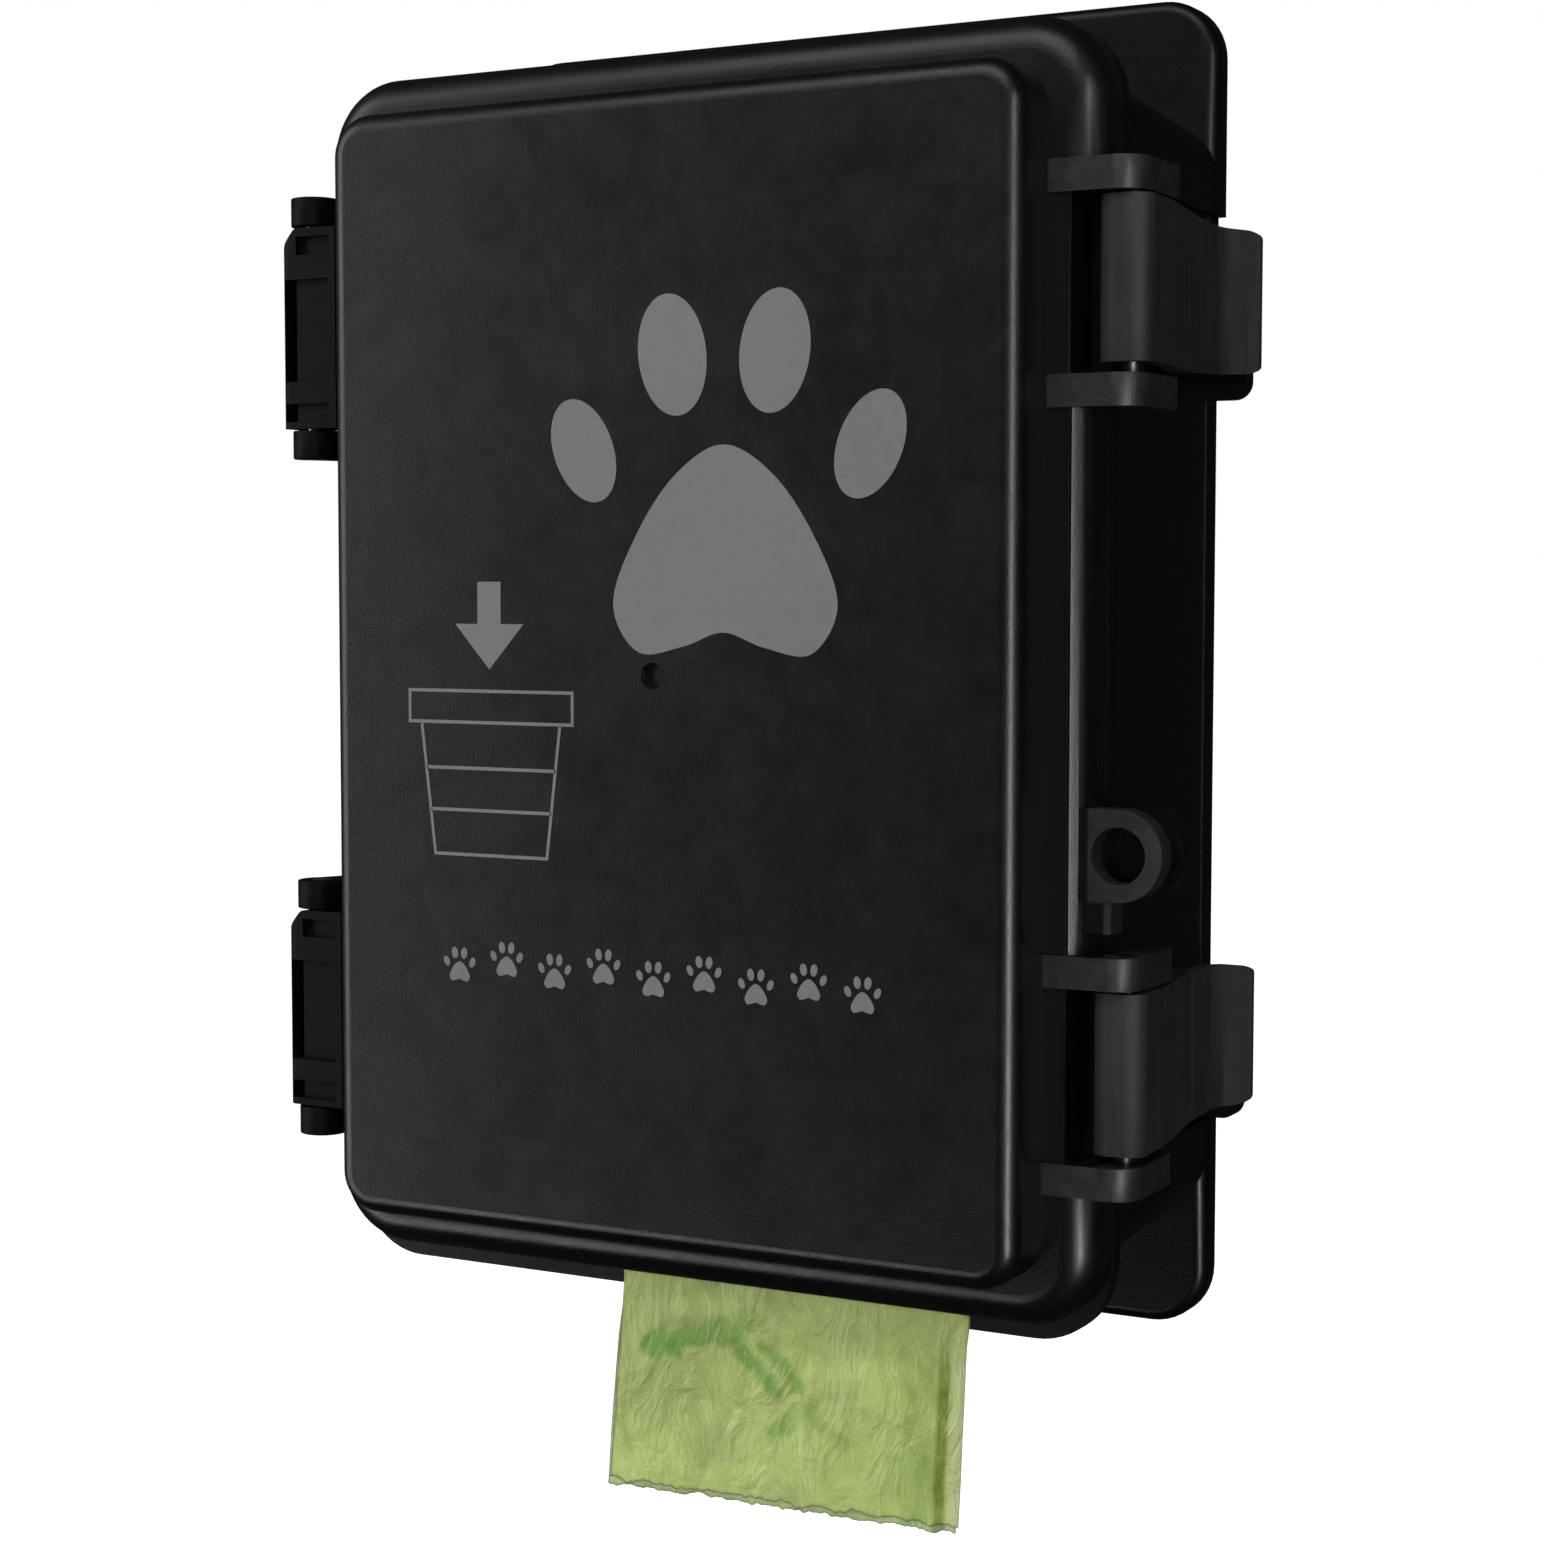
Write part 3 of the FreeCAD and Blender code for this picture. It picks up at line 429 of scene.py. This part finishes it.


# The latch lugs, their fronts and the padlock eye, as (low, high) millimetres in X, Y and Z, where the
# door's plastic is painted a lighter grey: partly paler plastic, partly a painted highlight.
ANY = (None, None)
PALE_SHEEN_BOXES = [[(72.4, None), ANY, ANY], [(63.7, None), (None, -60.85), ANY], [(69.9, None), ANY, (-33.8, -19)]]
DARK, LIGHT = (0.0018, 0.0018, 0.0019), (0.003, 0.003, 0.0031)
BLACK = moulding("black_abs", DARK, LIGHT, 0.35, 0.4, 0.3)
# The door's lug fronts and padlock eye get a lighter grey, partly paler plastic and partly a painted
# highlight.
DOOR_BLACK = moulding("door_abs", DARK, LIGHT, 0.35, 0.39, pale_sheen_boxes=PALE_SHEEN_BOXES)
HINGE_BLACK = moulding("hinge_nylon", (0.002, 0.002, 0.0021), (0.004, 0.004, 0.0041), 0.5, 0.6, 0.1)
FINISHES = {
    "black_moulding": BLACK,
    "black_lever": lever_plastic(),
    "dark_pin": metal("blackened_pin", (0.09, 0.09, 0.092), 0.3, 0.45, (1, 1, 8)),
    "steel": metal("stainless", (0.6, 0.6, 0.61), 0.2, 0.36, (1, 1, 6)),
    "zinc_steel": zinc(),
    "seal_rubber": rubber(),
    "white_plastic": nylon(),
    "card": card(),
    "green_film": wound_film(),
}
INK = ink()

for part in frame["record"]["subparts"]:
    mesh = nodes[part["node"]].data
    mesh.materials.clear()
    mesh.materials.append(FINISHES[part["material_slot"]])
nodes["door_shell"].data.materials[0] = DOOR_BLACK
for which in ("upper", "lower"):
    for piece in ("bracket", "clip"):
        nodes[f"hinge_{piece}_{which}"].data.materials[0] = HINGE_BLACK

# Widths in millimetres of the small radii on edges that are sharp in the solids.
SOFTENED = {"base_box": 0.45, "door_shell": 0.5}
for which in ("upper", "lower"):
    SOFTENED[f"hinge_bracket_{which}"] = 0.5
    SOFTENED[f"hinge_clip_{which}"] = 0.35
    SOFTENED[f"latch_lever_{which}"] = 0.7
    SOFTENED[f"latch_pin_{which}"] = 0.25
SAME_POINT = 0.000002       # metres within which the solid's own corners are one point
SHARP = math.radians(32)    # edges that turn more than this are rounded


def soften(obj, width):
    """Round the piece's sharp edges by a small radius."""
    weld = obj.modifiers.new("weld", "WELD")
    weld.merge_threshold = SAME_POINT
    bevel = obj.modifiers.new("bevel", "BEVEL")
    bevel.width = width * MM
    bevel.segments = 3
    bevel.limit_method = "ANGLE"
    bevel.angle_limit = SHARP
    bevel.use_clamp_overlap = True
    bevel.harden_normals = True
    bevel.miter_outer = "MITER_ARC"


for label, width in SOFTENED.items():
    soften(nodes[label], width)


# ------------------------------------------------------------------ printed pictogram

# Millimetres: how far the ink's face stands off the panel, its thickness, and the outlines' width.
INK_LIFT, INK_THICK, INK_LINE = 0.06, 0.05, 0.55


def printed(name, loops):
    """Flat ink shapes: each loop of (x, z) millimetres becomes one thin plate on the panel."""
    mesh = bpy.data.meshes.new(name)
    shape = bmesh.new()
    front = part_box("door_shell")[0].y - INK_LIFT * MM
    for loop in loops:
        corners = [shape.verts.new((x * MM, front, z * MM)) for x, z in loop]
        shape.faces.new(corners)
    bmesh.ops.recalc_face_normals(shape, faces=shape.faces)
    for face in shape.faces:
        if face.normal.y > 0:
            face.normal_flip()
    made = bmesh.ops.extrude_face_region(shape, geom=shape.faces[:])
    moved = [v for v in made["geom"] if isinstance(v, bmesh.types.BMVert)]
    bmesh.ops.translate(shape, verts=moved, vec=(0, INK_THICK * MM, 0))
    bmesh.ops.recalc_face_normals(shape, faces=shape.faces)
    bmesh.ops.triangulate(shape, faces=[f for f in shape.faces if len(f.verts) > 4])
    shape.to_mesh(mesh)
    shape.free()
    obj = bpy.data.objects.new(name, mesh)
    scene.collection.objects.link(obj)
    mesh.materials.append(INK)
    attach(obj, "door")


def oval(cx, cz, wide, tall, turn, count=56):
    """An ellipse as a loop of points, turned by degrees."""
    c, s = math.cos(math.radians(turn)), math.sin(math.radians(turn))
    points = []
    for i in range(count):
        a = 2 * math.pi * i / count
        x, z = wide / 2 * math.cos(a), tall / 2 * math.sin(a)
        points.append((cx + c * x - s * z, cz + s * x + c * z))
    return points


def smooth_loop(points, steps=10):
    """A closed Catmull-Rom curve through the points."""
    out = []
    count = len(points)
    for i in range(count):
        p0, p1, p2, p3 = (Vector(points[(i + k - 1) % count]) for k in range(4))
        for j in range(steps):
            t = j / steps
            out.append(tuple(0.5 * ((2 * p1) + (p2 - p0) * t + (2 * p0 - 5 * p1 + 4 * p2 - p3) * t * t
                                    + (3 * p1 - p0 - 3 * p2 + p3) * t ** 3)))
    return out


def paw(cx, cz, size):
    """A paw print: one three-lobed pad and four toes."""
    pad = smooth_loop([(0, 0.33), (0.2, 0.22), (0.36, 0.0), (0.44, -0.22), (0.34, -0.38), (0.16, -0.36),
                       (0, -0.31), (-0.16, -0.36), (-0.34, -0.38), (-0.44, -0.22), (-0.36, 0.0),
                       (-0.2, 0.22)])
    loops = [[(cx + x * size, cz + (z - 0.08) * size) for x, z in pad]]
    for side in (-1, 1):
        loops.append(oval(cx + side * 0.2 * size, cz + 0.56 * size, 0.27 * size, 0.42 * size, -side * 8))
        loops.append(oval(cx + side * 0.56 * size, cz + 0.24 * size, 0.24 * size, 0.38 * size, -side * 24))
    return loops


def stroke(points, width, closed=False):
    """Quads of even width along a line of points, mitred, as separate loops."""
    count = len(points)
    sides = []
    for i in range(count):
        here = Vector(points[i])
        before = Vector(points[i - 1]) if closed or i else None
        after = Vector(points[(i + 1) % count]) if closed or i < count - 1 else None
        ways = []
        if before is not None:
            ways.append((here - before).normalized())
        if after is not None:
            ways.append((after - here).normalized())
        normals = [Vector((-w.y, w.x)) for w in ways]
        normal = sum(normals, Vector((0, 0))).normalized()
        reach = width / 2 / max(0.3, normal.dot(normals[0]))
        sides.append((here + normal * reach, here - normal * reach))
    loops = []
    for i in range(count if closed else count - 1):
        a, b = sides[i], sides[(i + 1) % count]
        loops.append([tuple(a[0]), tuple(b[0]), tuple(b[1]), tuple(a[1])])
    return loops


def litter_bin(left, right, top, bottom):
    """A generic open-topped litter bin in outline, with a flat rim and two hoops."""
    rim_low, body_top, top_inset, low_inset = top - 5.2, top - 5.4, 2.4, 5
    rim = stroke([(left, top), (right, top), (right, rim_low), (left, rim_low)], INK_LINE, True)
    body = stroke([(left + top_inset, body_top), (left + low_inset, bottom), (right - low_inset, bottom),
                   (right - top_inset, body_top)], INK_LINE)
    hoops = []
    for share in (0.34, 0.66):
        level = body_top + (bottom - body_top) * share
        inset = top_inset + (low_inset - top_inset) * share
        hoops += stroke([(left + inset, level), (right - inset, level)], INK_LINE)
    return rim + body + hoops


def drop_arrow(cx, top, bottom, wide):
    """A solid arrow that points down into the bin."""
    neck = bottom + 0.52 * (top - bottom)
    shaft, head = wide * 0.17, wide / 2
    return [[(cx - shaft, top), (cx - shaft, neck), (cx - head, neck), (cx, bottom), (cx + head, neck),
             (cx + shaft, neck), (cx + shaft, top)]]


def paw_trail(count, first_x, pitch, middle_z, stagger, size):
    """A row of small paws, alternately a little low and a little high."""
    loops = []
    for step in range(count):
        loops += paw(first_x + pitch * step, middle_z + (stagger if step % 2 else -stagger), size)
    return loops


printed("print_paw", paw(13, 25, 46))
printed("print_bin", litter_bin(-47.2, -15.1, -3.0, -30.2))
printed("print_arrow", drop_arrow(-31.2, 15.0, 0.6, 13.5))
printed("print_trail", paw_trail(9, -37.5, 9.4, -48.6, 0.7, 4.6))


# ------------------------------------------------------------------ hanging end of the bags

# Millimetres. The film leaves the roll's front at FILM_TOP, comes in to SLOT_LINE as it passes the
# slot, and crumples freely below HANG_TOP. FLAT_WIDTH is the folded width of the bags on the roll.
FILM_TOP, SLOT_LINE, HANG_TOP, FLAT_WIDTH = -24.5, -53.8, -103, 65.5
# How many faces across and down each layer of film, and how many straight creases on it.
COLUMNS, ROWS, CREASES = 150, 260, 30

# Places where the film lies doubled: the line of each, its half width and its strength.
FOLDS = [([(-10, -113.8), (-3, -110.8), (5, -109), (9.3, -106.6)], 2.3, 1.0),
         ([(4, -110), (8.5, -114), (13, -118.4)], 1.3, 0.85),
         ([(10.5, -111), (14.5, -113), (17.6, -117)], 1.0, 0.8),
         ([(12.5, -125.6), (16.5, -122.8), (20.3, -120.2)], 1.5, 0.6),
         ([(19.5, -121), (26.5, -125.4)], 1.1, 0.5), ([(-15, -131), (-9.5, -127)], 0.7, 0.35),
         ([(34, -126.5), (42, -126)], 0.8, 0.45), ([(24, -108), (33, -106)], 0.8, 0.3)]


def crease_field(seed, count, low, high):
    """Random straight creases on the sheet: (point, direction, half length, height, width)."""
    rng = random.Random(seed)
    field = []
    for _ in range(count):
        at = Vector((rng.uniform(-20, 47), rng.uniform(low, high)))
        angle = rng.choice((rng.gauss(1.2, 0.35), rng.gauss(2.5, 0.4), rng.gauss(0.4, 0.4)))
        field.append((at, Vector((math.cos(angle), math.sin(angle))), rng.uniform(5, 18),
                      rng.uniform(-0.5, 0.5), rng.uniform(0.8, 2.8)))
    return field


def crumple(x, z, field, seed):
    """How far the film stands out of its plane at a place, in millimetres."""
    out = 0.6 * noise.noise(Vector((x * 0.055, z * 0.05, seed)))
    out += 0.25 * noise.noise(Vector((x * 0.16, z * 0.13, seed + 5)))
    for at, way, reach, height, width in field:
        step = Vector((x, z)) - at
        along, aside = step.dot(way), step.x * way.y - step.y * way.x
        fade = max(0.0, 1 - (along / reach) ** 2)
        out += height * fade * math.exp(-abs(aside) / width)
    return out


def step_down(value, edge, soft):
    """1 well below the edge, 0 well above it."""
    return min(1.0, max(0.0, (edge - value) / soft + 0.5))


def folded(x, z):
    """How strongly the film is doubled at a place, from 0 to 1."""
    most = 0.0
    here = Vector((x, z))
    ragged = 0.9 * noise.noise(Vector((x * 0.33, z * 0.33, 2))) + 0.3 * noise.noise(
        Vector((x * 0.9, z * 0.9, 8)))
    for line, half, strength in FOLDS:
        for first, second in zip(line, line[1:]):
            a, b = Vector(first), Vector(second)
            t = min(1.0, max(0.0, (here - a).dot(b - a) / (b - a).length_squared))
            gap = (here - a.lerp(b, t)).length
            most = max(most, strength * step_down(gap, half * (1 + ragged), 1.4))
    column = step_down(abs(x - 39.4), 3.3 + 1.2 * ragged, 1.2) * (0.3 + 0.25 * ragged)
    return max(most, column, 0.0)


def film_edges(z):
    """The left and right edges of the hanging film at a height: it leans a little."""
    fall = min(1.0, max(0.0, (-z - 60) / 42))
    below = max(0.0, (-z - 102) / 35)
    left = -18.9 + 3.2 * fall - 3.0 * below
    right = 46.5 + 1.8 * fall - 1.6 * below
    return left, right


def film_sheet(name, material, seed, offset, bottom, shift):
    """One layer of the flattened film tube, from the roll's front down through the slot."""
    roll_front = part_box("bag_film")[0].y / MM + 0.4
    path = [(FILM_TOP, roll_front), (-58, roll_front), (-74, roll_front + 2.6), (-87, SLOT_LINE - 2.4),
            (-96, SLOT_LINE - 0.3), (-104, SLOT_LINE), (bottom - 3, SLOT_LINE)]
    field = crease_field(seed, CREASES, bottom, -96)
    shape = bmesh.new()
    layers = {key: shape.verts.layers.float.new(key) for key in ("fold", "pale", "seam", "edge")}
    grid = []
    for r in range(ROWS + 1):
        share = r / ROWS
        level = path[0][0] + (bottom - path[0][0]) * share
        for (z0, y0), (z1, y1) in zip(path, path[1:]):
            if z1 <= level <= z0:
                t = (z0 - level) / (z0 - z1)
                line_y = y0 + (y1 - y0) * t * t * (3 - 2 * t)
        hang = min(1.0, max(0.0, (HANG_TOP - level) / 9))
        left, right = film_edges(level)
        row = []
        for c in range(COLUMNS + 1):
            u = c / COLUMNS
            x = left + (right - left) * u + shift * hang
            from_side = min(u, 1 - u) * (right - left)
            out = crumple(x, level, field, seed) * hang * min(1.0, 0.35 + from_side / 3)
            tear = 0.75 * noise.noise(Vector((x * 0.3, seed, 0)))
            tear += 0.4 * noise.noise(Vector((x * 1.0, seed, 3))) + 1.6 * (u - 0.5)
            z = level + tear * max(0.0, share - 0.93) / 0.07
            vert = shape.verts.new((x * MM, (line_y + offset - out) * MM, z * MM))
            wander = 0.7 * noise.noise(Vector((z * 0.09, seed, 4)))
            seam = right - 3.2 - 0.5 * hang + wander
            vert[layers["fold"]] = folded(x, z) * hang
            vert[layers["seam"]] = step_down(abs(x - seam), 1.0, 0.6) * hang
            vert[layers["pale"]] = 0.75 * step_down(-x, -(seam + 1.5), 0.7) * hang * (
                0.7 + 0.5 * noise.noise(Vector((x * 0.4, z * 0.3, 6))))
            from_end = (1 - share) * (FILM_TOP - bottom)
            vert[layers["edge"]] = 0.85 * step_down(min(from_side, from_end), 0.3, 0.35) * hang
            row.append(vert)
        grid.append(row)
    for r in range(ROWS):
        for c in range(COLUMNS):
            shape.faces.new((grid[r][c], grid[r + 1][c], grid[r + 1][c + 1], grid[r][c + 1]))
    bmesh.ops.recalc_face_normals(shape, faces=shape.faces)
    for face in shape.faces:
        face.smooth = True
    mesh = bpy.data.meshes.new(name)
    shape.to_mesh(mesh)
    shape.free()
    obj = bpy.data.objects.new(name, mesh)
    scene.collection.objects.link(obj)
    mesh.materials.append(material)
    obj.visible_glossy = False      # the satin plastic above it shows no green
    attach(obj, "base")
    return obj


FILM_FRONT = film("film_front", (0.56, 0.69, 0.21), (0.18, 0.4, 0.045), 0.9)
FILM_REAR = film("film_rear", (0.5, 0.65, 0.19), (0.18, 0.4, 0.045), 0.95)
front_layer = film_sheet("bag_film_front", FILM_FRONT, 7, -0.25, -136.8, 0.0)
film_sheet("bag_film_rear", FILM_REAR, 23, 0.4, -138.0, -0.7)
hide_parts("bag_film")


# ------------------------------------------------------------------ floor

FLOOR_LEVEL, FLOOR_RADIUS = -0.42, 12


def make_floor():
    """A wide pale floor well below the object."""
    mesh = bpy.data.meshes.new("floor")
    shape = bmesh.new()
    bmesh.ops.create_circle(shape, cap_ends=True, segments=96, radius=FLOOR_RADIUS)
    shape.to_mesh(mesh)
    shape.free()
    obj = bpy.data.objects.new("floor", mesh)
    scene.collection.objects.link(obj)
    obj.location = (0, 0, FLOOR_LEVEL)
    shader = Shader("pale_floor")
    shader.set(Base_Color=(0.9, 0.9, 0.9, 1), Roughness=0.9, Emission_Color=WHITE, Emission_Strength=1.0)
    obj.data.materials.append(shader.material)
    obj.visible_glossy = obj.visible_diffuse = False


make_floor()
